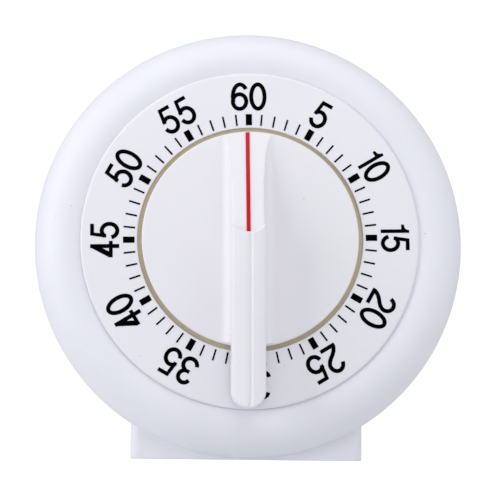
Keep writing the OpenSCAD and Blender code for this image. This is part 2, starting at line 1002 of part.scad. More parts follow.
module ratchet_2d(n, tip_r, root_r, rake) {
  pitch = 360 / n;
  polygon([for (i = [0:n - 1]) each [
    root_r * [cos(i * pitch), sin(i * pitch)],
    tip_r * [cos((i + rake) * pitch), sin((i + rake) * pitch)],
    root_r * [cos((i + rake + 0.1) * pitch), sin((i + rake + 0.1) * pitch)]]]);
}

module escape_wheel() {
  color([0.82, 0.68, 0.35])
    in_place()
      at(escape_at)
        slab(escape_z, escape_z - 0.6)
          difference() {
            ratchet_2d(15, escape_r, escape_r - 1.4, 0.7);
            circle(r = spindle_r);
            at_dirs(escape_r * 0.45, [0, 120, 240])
              circle(r = escape_r * 0.16);
          }
}

module balance_staff() {
  color([0.7, 0.7, 0.73])
    in_place()
      at(balance_at) {
        rod(spindle_r, front_back_z - 0.1, rear_z + 0.1);
        rod(pivot_r, front_z - 0.1, rear_back_z + 0.1);
      }
}

module balance_wheel() {
  color([0.82, 0.68, 0.35])
    in_place()
      at(balance_at)
        slab(balance_z, balance_z - 1)
          difference() {
            union() {
              difference() {
                circle(r = balance_r);
                circle(r = balance_r - 1.2);
              }
              circle(r = 1.6);
              translate([0.6 - balance_r, -0.6])
                square([2 * balance_r - 1.2, 1.2]);
            }
            circle(r = spindle_r);
          }
}

// The pins stand on both sides of the line from the balance to the escape wheel.
module pallet_pin_shape() {
  at(balance_at)
    at_dirs(3.3, [balance_dir + 145, balance_dir + 215])
      rod(0.35, escape_z + 0.5, escape_z - 2.2);
}

module pallet_yoke() {
  color([0.7, 0.7, 0.73])
    in_place()
      difference() {
        at(balance_at)
          slab(escape_z - 1.4, escape_z - 2.2)
            difference() {
              union() {
                circle(r = 1.7);
                at_dirs(0, [balance_dir + 145, balance_dir + 215])
                  translate([0, -0.6])
                    square([4, 1.2]);
              }
              circle(r = spindle_r);
            }
        pallet_pin_shape();
      }
}

module pallet_pins() {
  color([0.6, 0.6, 0.64])
    in_place()
      pallet_pin_shape();
}

// ---- strike work ----

module strike_barrel() {
  color([0.82, 0.68, 0.35])
    in_place() {
      slab(barrel_z, barrel_z - 1)
        difference() {
          wheel_2d(main_teeth);
          circle(r = arbor_r + running);
        }
      tube(drum_r, drum_r - drum_t, barrel_z - 1, barrel_low_z);
    }
}

module barrel_cap() {
  color([0.82, 0.68, 0.35])
    in_place()
      tube(drum_r - drum_t, arbor_r + running, barrel_low_z + 0.8, barrel_low_z);
}

module strike_spring() {
  color([0.45, 0.47, 0.52])
    in_place()
      coil(arbor_r + 0.5, drum_r - drum_t - strip_t, 5, barrel_z - 1.3, barrel_low_z + 1.1);
}

module strike_pinion() {
  color([0.7, 0.7, 0.73])
    in_place()
      at(strike_at)
        rotate([0, 0, strike_turn]) {
          rod(spindle_r, front_z - 0.1, star_z - 1.4);
          slab(barrel_z + 0.3, star_z)
            pinion_2d();
        }
}

module star_wheel() {
  color([0.78, 0.78, 0.8])
    in_place()
      at(strike_at)
        rotate([0, 0, strike_turn])
          slab(star_z, star_z - 1)
            difference() {
              ratchet_2d(10, star_r, star_r - 1.5, 0.5);
              circle(r = spindle_r);
            }
}

module hammer_arbor() {
  color([0.7, 0.7, 0.73])
    in_place()
      at(hammer_at)
        rod(spindle_r, cam_z + 0.2, arm_z - 1.2);
}

module hammer_arm_shape() {
  reach = head_at - hammer_at;
  difference() {
    at(hammer_at) {
      rod(1.8, arm_z, arm_z - 0.8);
      rotate([0, 0, atan2(reach[1], reach[0])])
        block(0, norm(reach) + 1, -0.8, 0.8, arm_z - 0.8, arm_z);
    }
    at(hammer_at)
      rod(spindle_r, arm_z + 1, arm_z - 2);
  }
}

module hammer_arm() {
  color([0.6, 0.62, 0.66])
    in_place()
      hammer_arm_shape();
}

module hammer_head() {
  color([0.82, 0.68, 0.35])
    in_place()
      difference() {
        at(head_at)
          rod(head_r, arm_z + 0.8, arm_z - 2.4);
        hammer_arm_shape();
      }
}

module hammer_anchor() {
  to_star = hammer_dir + 180;
  color([0.78, 0.78, 0.8])
    in_place()
      at(hammer_at)
        slab(star_z, star_z - 1)
          difference() {
            union() {
              circle(r = 1.7);
              for (side = [-1, 1])
                rotate([0, 0, to_star + side * 57])
                  translate([0, -0.5])
                    square([4, 1]);
            }
            circle(r = spindle_r);
          }
}

module hammer_detent() {
  color([0.78, 0.78, 0.8])
    in_place()
      at(hammer_at)
        slab(cam_z, cam_z - lever_t)
          difference() {
            union() {
              circle(r = detent_hub_r);
              translate([-detent_hw, 0])
                square([2 * detent_hw, 4]);
            }
            circle(r = spindle_r);
          }
}

module release_lever() {
  tail_x = hammer_at[0] - detent_hub_r - lever_end_gap;
  color([0.6, 0.62, 0.66])
    in_place()
      slab(cam_z, cam_z - lever_t)
        difference() {
          union() {
            at(stud_at)
              circle(r = 2.2);
            translate([stud_at[0], bar_y - bar_hw])
              square([tail_x - stud_at[0], 2 * bar_hw]);
            translate([-0.9, bar_y])
              square([1.8, nose_y - bar_y]);
          }
          at(stud_at)
            circle(r = stud_r + running);
        }
}

front_housing();
rear_housing();
dial_plate();
minute_marks();
dial_ring();
case_screws();
front_plate();
rear_plate();
plate_pillars();
pillar_screws();
movement_screws();
mainspring();
spring_post();
bell();
bell_washer();
bell_screw();
lever_stud();
lever_spring();
knob();
pointer_line();
knob_clip();
main_arbor();
main_wheel();
clutch_collar();
clutch_washer();
trip_cam();
second_pinion();
second_wheel();
third_pinion();
third_wheel();
fourth_pinion();
fourth_wheel();
escape_pinion();
escape_wheel();
balance_staff();
balance_wheel();
pallet_yoke();
pallet_pins();
strike_barrel();
barrel_cap();
strike_spring();
strike_pinion();
star_wheel();
hammer_arbor();
hammer_arm();
hammer_head();
hammer_anchor();
hammer_detent();
release_lever();
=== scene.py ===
"""A wind-up kitchen timer: a white moulded case on a flat foot, a printed dial, a turn knob, and a
movement with a bell."""

import math

import bmesh
import bpy
from mathutils import Matrix, Vector


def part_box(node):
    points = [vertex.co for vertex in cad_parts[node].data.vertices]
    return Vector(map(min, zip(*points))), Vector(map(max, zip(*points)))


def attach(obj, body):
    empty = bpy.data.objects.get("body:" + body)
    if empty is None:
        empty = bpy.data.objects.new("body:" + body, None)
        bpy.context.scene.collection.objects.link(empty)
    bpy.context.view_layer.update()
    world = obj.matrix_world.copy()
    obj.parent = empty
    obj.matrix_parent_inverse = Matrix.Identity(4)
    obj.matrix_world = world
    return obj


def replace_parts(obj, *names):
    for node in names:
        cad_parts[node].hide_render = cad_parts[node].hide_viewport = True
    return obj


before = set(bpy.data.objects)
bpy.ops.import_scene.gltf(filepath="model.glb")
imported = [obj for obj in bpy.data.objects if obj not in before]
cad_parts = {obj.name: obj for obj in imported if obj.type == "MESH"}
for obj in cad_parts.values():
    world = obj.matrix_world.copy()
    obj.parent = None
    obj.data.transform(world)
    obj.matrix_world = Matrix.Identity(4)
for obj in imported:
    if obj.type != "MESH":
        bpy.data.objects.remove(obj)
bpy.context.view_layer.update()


# ---- Movement plates ----
# Two round brass plates, blanked from sheet and lightly brushed, stand apart on four pillars.
# The front plate hangs on three posts of the case, and every arbor turns between the two.


class Wire:
    """The output of a node, which takes part in sums."""

    def __init__(self, finish, socket):
        self.finish = finish
        self.socket = socket

    def sum(self, operation, *values):
        return self.finish.node("Math", {"operation": operation}, dict(enumerate(values)))

    def __add__(self, other):
        return self.sum("ADD", self, other)

    def __sub__(self, other):
        return self.sum("SUBTRACT", self, other)

    def __rsub__(self, other):
        return self.sum("SUBTRACT", other, self)

    def __mul__(self, other):
        return self.sum("MULTIPLY", self, other)

    def __gt__(self, other):
        return self.sum("GREATER_THAN", self, other)

    def __lt__(self, other):
        return self.sum("LESS_THAN", self, other)

    __radd__ = __add__
    __rmul__ = __mul__

    def beside(self, output):
        """Another output of the same node."""
        return Wire(self.finish, self.socket.node.outputs[output])


class Finish:
    """One material or world, made of nodes."""

    def __init__(self, name, holder=None):
        self.material = holder or bpy.data.materials.new(name)
        self.material.use_nodes = True
        self.material.node_tree.nodes.clear()

    def node(self, kind, settings, sockets, output=0):
        tree = self.material.node_tree
        made = tree.nodes.new("ShaderNode" + kind)
        for name, value in settings.items():
            setattr(made, name, value)
        for name, value in sockets.items():
            if isinstance(value, Wire):
                tree.links.new(value.socket, made.inputs[name])
            else:
                made.inputs[name].default_value = value
        return Wire(self, made.outputs[output]) if made.outputs else None

    def seen(self):
        """1 where the camera looks straight at it, and 0 for the light that it gives."""
        return self.node("LightPath", {}, {}).beside("Is Camera Ray")

    def place(self, stretch=(1, 1, 1)):
        """The place on the piece, in metres, with each direction stretched."""
        here = self.node("TexCoord", {}, {}, "Object")
        return self.node("VectorMath", {"operation": "MULTIPLY"}, {0: here, 1: stretch})

    def cloud(self, scale, detail=2, stretch=(1, 1, 1)):
        """Soft random spots from 0 to 1, with a number of them along each metre."""
        sockets = {"Vector": self.place(stretch), "Scale": scale, "Detail": detail}
        return self.node("TexNoise", {}, sockets)

    def span(self, value, low, high, first=0, last=1):
        """Carries low to high over to first to last, and stays within them."""
        return self.node("MapRange", {}, {0: value, 1: low, 2: high, 3: first, 4: last})

    def blend(self, share, one, other):
        """The colour one where share is 0 and the other where it is 1."""
        return self.node("Mix", {"data_type": "RGBA"}, {0: share, 6: one, 7: other}, 2)

    def surface(self, colour, roughness, height, depth, **more):
        """Closes the material: height, from 0 to 1, is a relief of that depth in metres."""
        relief = self.node("Bump", {}, {"Strength": 1, "Distance": depth, "Height": height})
        sockets = {"Base Color": colour, "Roughness": roughness, "Normal": relief}
        for name, value in more.items():
            sockets[name.replace("_", " ").title().replace("Ior", "IOR")] = value
        shader = self.node("BsdfPrincipled", {}, sockets)
        self.node("OutputMaterial", {}, {"Surface": shader})
        return self.material


def shade(red, green, blue):
    return (red, green, blue, 1)


def brushed_metal(name, bright, dull, stretch, smooth=0.25):
    """Metal with fine lines across the stretched direction, cloudy tarnish and a few scratches."""
    finish = Finish(name)
    lines = finish.cloud(300, 3, stretch)
    tarnish = finish.span(finish.cloud(140, 4), 0.45, 0.75)
    scratch = finish.span(finish.cloud(90, 1, (1, 9, 30)), 0.7, 0.72)
    colour = finish.blend(finish.span(tarnish + lines * 0.25, 0, 1.2), bright, dull)
    roughness = smooth + lines * 0.14 + tarnish * 0.16 + scratch * 0.1
    return finish.surface(colour, roughness, lines * 0.7 + scratch * 0.3, 0.00002, metallic=1)


def coat(material, slot, *nodes):
    """Gives CAD nodes their material."""
    for node in nodes:
        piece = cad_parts[node]
        piece.data.materials.clear()
        piece.data.materials.append(material)


brass_sheet = brushed_metal(
    "brushed_brass_sheet", shade(0.71, 0.5, 0.2), shade(0.42, 0.27, 0.09), (1, 1, 14)
)
coat(brass_sheet, "plate_brass", "front_plate", "rear_plate")


# ---- Pillars, post and stud ----
# Turned steel rods, riveted into the front plate. The pillars carry the rear plate, the post
# holds the outer end of the mainspring, and the release lever turns on the stud.

turned_steel = brushed_metal(
    "turned_steel", shade(0.56, 0.57, 0.6), shade(0.32, 0.31, 0.31), (1, 30, 1), 0.2
)
coat(turned_steel, "turned_steel", "plate_pillars", "spring_post", "lever_stud")


# ---- Arbors and pinions ----
# Cut from steel rod, with twelve leaves each and thin polished pivots at both ends.
# The thick main arbor runs out through the case and carries the knob on its flat.

coat(
    turned_steel, "turned_steel", "main_arbor", "second_pinion", "third_pinion", "fourth_pinion",
    "escape_pinion", "balance_staff", "strike_pinion", "hammer_arbor", "pallet_pins", "clutch_collar",
)


# ---- Wheels ----
# Stamped from hard brass sheet, with round windows that save weight, and pressed on their arbors.
# The balance and the strike barrel with its cap are of the same brass.

wheel_brass = brushed_metal(
    "stamped_wheel_brass", shade(0.8, 0.58, 0.25), shade(0.5, 0.33, 0.12), (12, 1, 1), 0.22
)
coat(
    wheel_brass, "wheel_brass", "main_wheel", "clutch_washer", "second_wheel", "third_wheel",
    "fourth_wheel", "escape_wheel", "balance_wheel", "strike_barrel", "barrel_cap", "hammer_head",
)


# ---- Springs ----
# Cold-rolled spring steel, blued by tempering. The mainspring drives the train, the strike spring
# lies in its barrel, a thin blade lifts the release lever, and a clip holds the main arbor.

finish = Finish("blued_spring_steel")
bands = finish.cloud(160, 2, (1, 0.3, 1))
rolled = finish.cloud(500, 2, (1, 12, 1))
blued = finish.blend(
    finish.span(bands, 0.35, 0.65), shade(0.09, 0.12, 0.2), shade(0.24, 0.21, 0.2)
)
blued_steel = finish.surface(blued, 0.24 + rolled * 0.18, rolled, 0.00001, metallic=1)
coat(blued_steel, "spring_steel", "mainspring", "strike_spring", "lever_spring", "knob_clip")


# ---- Stamped levers, cam and strike work ----
# Zinc-plated steel stampings with slightly rolled edges: the cam on the main arbor lets the lever
# drop at zero, and the star wheel then rocks the hammer.

finish = Finish("zinc_plated_stamping")
crystals = finish.node(
    "TexVoronoi", {}, {"Vector": finish.place(), "Scale": 700, "Randomness": 1}
)
bloom = finish.span(finish.cloud(120, 4), 0.4, 0.7)
zinc = finish.blend(bloom, shade(0.58, 0.6, 0.64), shade(0.4, 0.39, 0.37))
zinc_stamping = finish.surface(
    zinc, 0.3 + bloom * 0.2 + crystals * 0.1, crystals, 0.00001, metallic=1
)
coat(
    zinc_stamping, "stamped_steel", "trip_cam", "pallet_yoke", "star_wheel", "hammer_arm",
    "hammer_anchor", "hammer_detent", "release_lever",
)


# ---- Bell ----
# A shallow cup pressed from steel and nickel-plated, held on its post in the back by one screw
# and a washer. The hammer strikes its rim from inside.

bell_nickel = brushed_metal(
    "nickel_plated_bell", shade(0.68, 0.66, 0.63), shade(0.5, 0.47, 0.43), (1, 25, 1), 0.1
)
coat(bell_nickel, "bell_steel", "bell")


# ---- Screws ----
# Bright zinc-plated machine screws and self-tapping screws: three through the back into the case
# front, three for the movement, four for the pillars, and one for the bell.

finish = Finish("passivated_zinc_screws")
tint = finish.cloud(350, 2)
wear = finish.span(finish.cloud(900, 3), 0.5, 0.7)
screw_colour = finish.blend(tint, shade(0.6, 0.63, 0.7), shade(0.66, 0.62, 0.5))
screw_zinc = finish.surface(screw_colour, 0.25 + wear * 0.2, wear, 0.00001, metallic=1)
coat(
    screw_zinc, "zinc_screws", "case_screws", "movement_screws", "pillar_screws", "bell_screw",
    "bell_washer",
)


# ---- Rear of the case ----
# A deep moulding in white plastic, with the rear half of the foot, six sound slots and three deep
# recesses for the screws. A lip on its edge centres it in the front moulding.

face_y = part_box("dial_plate")[0].y
axis_z = (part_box("dial_plate")[0].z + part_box("dial_plate")[1].z) / 2


def stand(point):
    """Carries a point that is drawn facing the user, in millimetres, to its place in metres."""
    x, y, z = point
    return (x / 1000, face_y - z / 1000, axis_z + y / 1000)


def arc(x, y, width, height, start, end, steps):
    """Points on an ellipse with these half axes, from one angle to another in degrees."""
    turns = [math.radians(start + (end - start) * i / steps) for i in range(steps + 1)]
    return [(x + width * math.cos(turn), y + height * math.sin(turn)) for turn in turns]


def skin(rings, ends="closed"):
    """A shell over rings with equal numbers of points. Its ends are closed, or joined together."""
    count = len(rings[0])
    faces = []
    for i in range(len(rings) - (ends == "closed")):
        here, there = i * count, (i + 1) % len(rings) * count
        for j in range(count):
            k = (j + 1) % count
            faces.append((here + j, here + k, there + k, there + j))
    if ends == "closed":
        faces.append(range(count))
        faces.append(range((len(rings) - 1) * count, len(rings) * count))
    return [point for ring in rings for point in ring], faces


def turned(profile, x=0, y=0, steps=192):
    """A shell turned on a lathe from points of radius and depth, round an axis at x, y."""
    rings = []
    for i in range(steps):
        side, up = math.cos(2 * math.pi * i / steps), math.sin(2 * math.pi * i / steps)
        rings.append([(x + r * side, y + r * up, z) for r, z in profile])
    return skin(rings, "joined")


def peg(radius, front, back, x=0, y=0):
    return turned([(0, back), (radius, back), (radius, front), (0, front)], x, y, 48)


def around(radius, *degrees):
    """Places on a circle."""
    return [
        (radius * math.cos(math.radians(a)), radius * math.sin(math.radians(a))) for a in degrees
    ]


def shape(name, *shells, sharp=32):
    """A mesh object of closed shells, smooth but for edges sharper than that many degrees."""
    whole = bmesh.new()
    for points, faces in shells:
        part = bmesh.new()
        spots = [part.verts.new(stand(point)) for point in points]
        for face in faces:
            part.faces.new([spots[i] for i in face])
        bmesh.ops.remove_doubles(part, verts=part.verts, dist=1e-7)
        bmesh.ops.dissolve_degenerate(part, edges=part.edges, dist=1e-7)
        bmesh.ops.recalc_face_normals(part, faces=part.faces)
        kept = bpy.data.meshes.new("shell")
        part.to_mesh(kept)
        part.free()
        whole.from_mesh(kept)
        bpy.data.meshes.remove(kept)
    mesh = bpy.data.meshes.new(name)
    whole.to_mesh(mesh)
    whole.free()
    piece = bpy.data.objects.new(name, mesh)
    bpy.context.scene.collection.objects.link(piece)
    return smooth(piece, sharp)


def smooth(piece, sharp):
    piece.data.polygons.foreach_set("use_smooth", [True] * len(piece.data.polygons))
    piece.data.set_sharp_from_angle(angle=math.radians(sharp))
    return piece


def carve(piece, operation, *shells, sharp=32):
    """Joins shells to the piece with UNION, or takes them out of it with DIFFERENCE."""
    tool = shape("tool", *shells)
    step = piece.modifiers.new("carve", "BOOLEAN")
    step.operation = operation
    step.solver = "MANIFOLD"
    step.object = tool
    bpy.context.view_layer.update()
    seen = piece.evaluated_get(bpy.context.evaluated_depsgraph_get())
    old = piece.data
    made = bpy.data.meshes.new_from_object(seen)
    piece.modifiers.clear()
    piece.data = made
    made.name = piece.name
    bpy.data.meshes.remove(old)
    bpy.data.objects.remove(tool)
    return smooth(piece, sharp)


def white_plastic(name, light, dark, gloss, peel):
    """Moulded white plastic with faint clouds, a fine orange peel, and a few dark specks."""
    finish = Finish(name)
    clouds = finish.span(finish.cloud(60, 4), 0.35, 0.65)
    mottle = finish.cloud(900, 3)
    colour = finish.blend(clouds * 0.6 + mottle * 0.4, light, dark)
    spots = finish.node("TexVoronoi", {}, {"Vector": finish.place(), "Scale": 260, "Randomness": 1})
    chance = finish.node("SeparateColor", {}, {"Color": spots.beside("Color")})
    speck = (spots < 0.045) * (chance > 0.82)
    colour = finish.blend(speck * 0.45, colour, shade(0.3, 0.27, 0.25))
    skin_relief = finish.cloud(peel, 3)
    roughness = gloss + clouds * 0.06 + skin_relief * 0.08
    return finish.surface(colour, roughness, skin_relief, 0.00003)


case_plastic = white_plastic(
    "white_case_plastic", shade(0.822, 0.828, 0.895), shade(0.785, 0.79, 0.858), 0.46, 1500
)


def finished(piece, material, slot, body, *nodes):
    """Coats a piece, lets it ride on its body, and puts it in the place of its CAD nodes."""
    piece.data.materials.clear()
    piece.data.materials.append(material)
    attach(piece, body)
    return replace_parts(piece, *nodes)


case_radius, wall, joint, seam, case_back, edge_radius = 47.5, 2, -15, 0.05, -38, 4
foot_half, foot_low, foot_back, foot_corner = 25.35, -47.8, -36, 1.8
cut_from = case_back - 1


def foot(split, end):
    """The foot's outside from the joint to its rounded end, the lower edges eased."""
    way = math.copysign(1, end - split)
    rings = []
    for inset, y in ((0.3, foot_low), (0.1, foot_low + 0.08), (0, foot_low + 0.3), (0, -39)):
        half, stop = foot_half - inset, end - way * inset
        loop = [(-half, split), (half, split)]
        for side, start in ((1, 0), (-1, 90)):
            loop += arc(
                side * (half - foot_corner), stop - way * foot_corner,
                foot_corner, foot_corner * way, start, start + 90, 6,
            )
        rings.append([(x, y, z) for x, z in loop])
    return skin(rings)


def foot_hollow(front, back):
    """The room inside the foot."""
    half = foot_half - wall
    corners = [(-half, back), (half, back), (half, front), (-half, front)]
    return skin([[(x, y, z) for x, z in corners] for y in (foot_low + wall, -38.6)])


def sound_slot(y):
    """A cutter for one slot with round ends and an eased mouth."""
    rings = []
    for half_width, z in ((1.1, cut_from), (1.1, case_back), (0.8, case_back + 0.3), (0.8, -35)):
        loop = arc(11.2, y, half_width, half_width, -90, 90, 8)
        loop += arc(-11.2, y, half_width, half_width, 90, 270, 8)
        rings.append([(x, along, z) for x, along in loop])
    return skin(rings)


def screw_recess(x, y):
    """A cutter for one deep recess and the hole at its bottom."""
    mouth = [(0, cut_from), (3.4, cut_from), (3.4, case_back), (3.1, case_back + 0.3)]
    return turned(mouth + [(3.1, -18.2), (1.5, -18.2), (1.5, joint), (0, joint)], x, y, 48)


screw_places = around(39.5, 90, 210, 330)
edge_x, edge_z, inner_radius = case_radius - edge_radius, case_back + edge_radius, edge_radius - wall
back_edge = arc(edge_x, edge_z, edge_radius, edge_radius, -90, 0, 12)
mating_edge = [(case_radius, joint - 0.3), (case_radius - 0.15, joint - seam), (0, joint - seam)]
case_rear = shape("case_rear", turned([(0, case_back)] + back_edge + mating_edge))
carve(case_rear, "UNION", foot(joint - seam, foot_back))
inner_edge = arc(edge_x, edge_z, inner_radius, inner_radius, -90, 0, 8)
inner_wall = [(case_radius - wall, joint + 1), (0, joint + 1)]
carve(case_rear, "DIFFERENCE", turned([(0, case_back + wall)] + inner_edge + inner_wall))
carve(case_rear, "DIFFERENCE", foot_hollow(joint + 1, foot_back + wall))
lip = [(45.6, -17.5), (44.2, -17.5), (44.2, -13.6), (44.4, -13.4), (45.2, -13.4), (45.4, -13.6)]
carve(case_rear, "UNION", turned(lip + [(45.4, joint - seam), (45.6, joint - seam)]))
carve(
    case_rear, "UNION", peg(4, -34.6, -37), *[peg(3.9, -16.2, -37, x, y) for x, y in screw_places]
)
carve(
    case_rear, "DIFFERENCE", peg(1.2, -33.6, -36.6),
    *[screw_recess(x, y) for x, y in screw_places],
    *[sound_slot(side * y) for side in (-1, 1) for y in (11, 15, 19)],
)
finished(case_rear, case_plastic, "case_plastic", "case", "rear_housing")


# ---- Front of the case ----
# One white moulding with a full round rim, a shallow seat for the dial, and the front half of the
# foot. Posts inside take the movement's screws and the case screws.

movement_places = around(32.5, 20, 140, 260)
foot_front, dial_radius, seat, rim_radius, rim_z = -6.5, 37, -1.4, 7.6, -7.85
rim_x, inner_rim = case_radius - rim_radius, rim_radius - wall
rim = [(dial_radius + 0.03, seat), (dial_radius + 0.03, -0.9)]
rim += arc(rim_x, rim_z, rim_radius, rim_radius, 112.1, 0, 44)
mating_edge = [(case_radius, joint + 0.3), (case_radius - 0.15, joint + seam)]
case_front = shape("case_front", turned([(0, joint + seam), (0, seat)] + rim + mating_edge))
carve(case_front, "UNION", foot(joint + seam, foot_front))
hollow = [(0, joint - 1), (0, seat - wall)]
hollow += arc(rim_x, rim_z, inner_rim, inner_rim, 52.6, 0, 10) + [(case_radius - wall, joint - 1)]
carve(case_front, "DIFFERENCE", turned(hollow))
carve(case_front, "DIFFERENCE", foot_hollow(foot_front - wall, joint - 1))
carve(
    case_front, "UNION",
    *[peg(2.6, -2.4, -8, x, y) for x, y in movement_places],
    *[peg(2.8, -2.4, -16, x, y) for x, y in screw_places],
)
carve(
    case_front, "DIFFERENCE", peg(3.2, 0, -5),
    *[peg(0.9, -4.8, -9, x, y) for x, y in movement_places],
    *[peg(1.2, -6.4, -17, x, y) for x, y in screw_places],
)
finished(case_front, case_plastic, "case_plastic", "case", "front_housing")


# ---- Dial plate ----
# A flat ring of slightly glossier white plastic with an eased edge, pressed into the seat of the
# case front. It carries the print.

dial_plastic = white_plastic(
    "white_dial_plastic", shade(0.824, 0.818, 0.875), shade(0.798, 0.792, 0.85), 0.44, 1900
)
dial_round, dial_hole = 0.6, 24.65
dial_edge = arc(dial_radius - dial_round, -dial_round, dial_round, dial_round, 0, 90, 10)
hole_edge = [(dial_hole + 0.1, 0), (dial_hole, -0.1), (dial_hole, seat)]
dial = shape("dial", turned([(dial_radius, seat)] + dial_edge + hole_edge))
finished(dial, dial_plastic, "dial_plastic", "case", "dial_plate")


# ---- Minute marks and numerals ----
# Black ink, pad-printed on the dial: sixty radial strokes with every fifth one bold, and numerals
# that stand with their feet towards the knob. The print is turned slightly anticlockwise.

finish = Finish("black_dial_ink")
grain = finish.cloud(2600, 3)
ink_colour = finish.blend(grain, shade(0.0002, 0.0003, 0.0008), shade(0.0014, 0.0014, 0.002))
dial_ink = finish.surface(ink_colour, 0.5 + grain * 0.2, grain, 0.000006, specular_ior_level=0.01)
coat(dial_ink, "black_ink", "minute_marks")

print_turn, ink_top = 1.5, 0.05


def stroke(path, width=0.83):
    """A flat bar of ink along a path of points, cut square at both ends."""
    left, right = [], []
    for i, (x, y) in enumerate(path):
        sides = []
        for j in (i - 1, i):
            if 0 <= j < len(path) - 1:
                run = Vector(path[j + 1]) - Vector(path[j])
                sides.append(Vector((-run.y, run.x)).normalized())
        normal = sum(sides, Vector((0, 0))).normalized()
        reach = width / 2 / max(0.4, normal.dot(sides[0]))
        left.append((x + normal.x * reach, y + normal.y * reach))
        right.append((x - normal.x * reach, y - normal.y * reach))
    return left + right[::-1]


def hoop(x, y, width, height):
    """An oval stroke, as two paths that overlap a little at their ends."""
    return [
        stroke(arc(x, y, width, height, 85, 275, 24)), stroke(arc(x, y, width, height, -95, 95, 24))
    ]


digits = {
    "0": hoop(1.775, 2.97, 1.4, 2.6),
    "1": [[(1.62, 0), (2.36, 0), (2.36, 5.94), (1.8, 5.94), (1.66, 5.4), (1.34, 5.02), (0.6, 4.82),
           (0.6, 4.3), (1.62, 4.3)]],
    "2": [
        stroke(arc(1.78, 4.1, 1.36, 1.47, 172, 0, 18)
               + [(3.05, 3.62), (2.72, 3.08), (2.2, 2.58), (1.5, 2.06), (0.95, 1.52), (0.6, 0.95),
                  (0.44, 0.1)]),
        [(0.06, 0), (3.42, 0), (3.42, 0.8), (0.06, 0.8)],
    ],
    "3": [
        stroke(arc(1.72, 4.33, 1.22, 1.24, 168, -68, 20)),
        stroke(arc(1.75, 1.73, 1.42, 1.36, 72, -168, 24)),
        [(1.2, 2.7), (2.2, 2.7), (2.2, 3.46), (1.2, 3.46)],
    ],
    "4": [
        [(2.02, 0), (2.84, 0), (2.84, 5.94), (2.02, 5.94)],
        [(0.1, 1.34), (3.5, 1.34), (3.5, 2.1), (0.1, 2.1)],
        [(0.1, 2.06), (0.1, 1.4), (0.96, 1.4), (2.78, 4.9), (2.78, 5.94), (2.2, 5.94)],
    ],
    "5": [
        [(0.78, 5.94), (3.2, 5.94), (3.2, 5.16), (0.78, 5.16)],
        [(0.78, 5.94), (1.46, 5.94), (1.08, 2.66), (0.3, 2.66)],
        stroke(arc(1.74, 1.98, 1.42, 1.6, 146, -166, 26)),
    ],
    "6": hoop(1.82, 1.92, 1.4, 1.56)
    + [stroke(arc(1.95, 2.97, 1.53, 2.6, 38, 206, 24))],
}
digit_scale, digit_foot, digit_pitch, narrow_pitch = 1.055, 28.52, 4.1, 2.55


def printed(outline, minute, shift):
    """A closed shell of ink from an outline, in its place on the dial."""
    turn = math.radians(90 - 6 * minute + print_turn)
    up, across = (math.cos(turn), math.sin(turn)), (math.sin(turn), -math.cos(turn))
    loop = []
    for x, y in outline:
        side, out = x * digit_scale + shift, y * digit_scale + digit_foot
        loop.append((side * across[0] + out * up[0], side * across[1] + out * up[1]))
    return skin([[(x, y, z) for x, y in loop] for z in (-0.05, ink_top)])


layers = [[], [], []]
for minute in range(5, 61, 5):
    pitches = [narrow_pitch if digit == "1" else digit_pitch for digit in str(minute)]
    shift = -sum(pitches) / 2
    for digit, pitch in zip(str(minute), pitches):
        for layer, outline in zip(layers, digits[digit]):
            layer.append(printed(outline, minute, shift + (-0.2 if digit == "1" else 0.18)))
        shift += pitch
numerals = shape("numerals", *layers[0])
for layer in layers[1:]:
    carve(numerals, "UNION", *layer)
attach(numerals, "case")
numerals.data.materials.clear()
numerals.data.materials.append(dial_ink)


# ---- Tan ring ----
# A thin matt ring, coloured tan, that lies in the dial's seat under the knob's edge and fills the
# gap round the knob with tan.

finish = Finish("tan_ring_finish")
fibres = finish.cloud(700, 4, (1, 1, 3))
dust = finish.span(finish.cloud(180, 3), 0.5, 0.7)
tan = finish.blend(fibres, shade(0.65, 0.57, 0.39), shade(0.51, 0.445, 0.3))
tan_sheet = finish.surface(
    finish.blend(dust * 0.3, tan, shade(0.6, 0.55, 0.46)), 0.6 + fibres * 0.2, fibres, 0.00002
)
ring_hole, ring_top, ring_ease = 21.65, -0.6, 0.05
ring_side = ring_top - ring_ease
ring_face = [(dial_hole - ring_ease, ring_top), (ring_hole + ring_ease, ring_top)]
ring_profile = [(ring_hole, seat), (dial_hole, seat), (dial_hole, ring_side)] + ring_face
tan_ring = shape("tan_ring", turned(ring_profile + [(ring_hole, ring_side)]))
finished(tan_ring, tan_sheet, "tan_ring", "case", "dial_ring")


# ---- Knob ----
# One white moulding: a thin disc with a hub that is pressed on the main arbor, and a tall handle
# whose tail reaches over the dial. The handle is hollow below, has a fine groove along its crown,
# and runs down to the disc's edge in a slope that begins at a round step.

knob_plastic = white_plastic(
    "white_knob_plastic", shade(0.824, 0.815, 0.868), shade(0.795, 0.785, 0.838), 0.4, 1700
)
disc_radius, disc_top, disc_low, disc_round, disc_reach = 23.65, 0.9, -0.3, 0.4, 23.2
fillet, bar_half, tail_end, tail_round, tail_low = 2.4, 3.65, -36.8, -33.15, 1.5
crown_height, crown_radius, bow_radius, end_round = 9.9, 14, 4.46, 0.5
slope_start, slope_high, slope_fall = 0.3, 6.9, 6 / 23.15
bar_shift, groove_shift, pointer_turn = -0.7, 0.35, 0.7


def leaned(shell):
    """Turns a shell by the small angle at which the pointer stands when the timer is at zero."""
    points, faces = shell
    side, up = math.cos(math.radians(pointer_turn)), math.sin(math.radians(pointer_turn))
    return [(x * side - y * up, x * up + y * side, z) for x, y, z in points], faces


def bow(x):
    """How far the round step bends towards the pointer at a distance from the middle."""
    return bow_radius - math.sqrt(bow_radius**2 - min(abs(x), bar_half) ** 2)


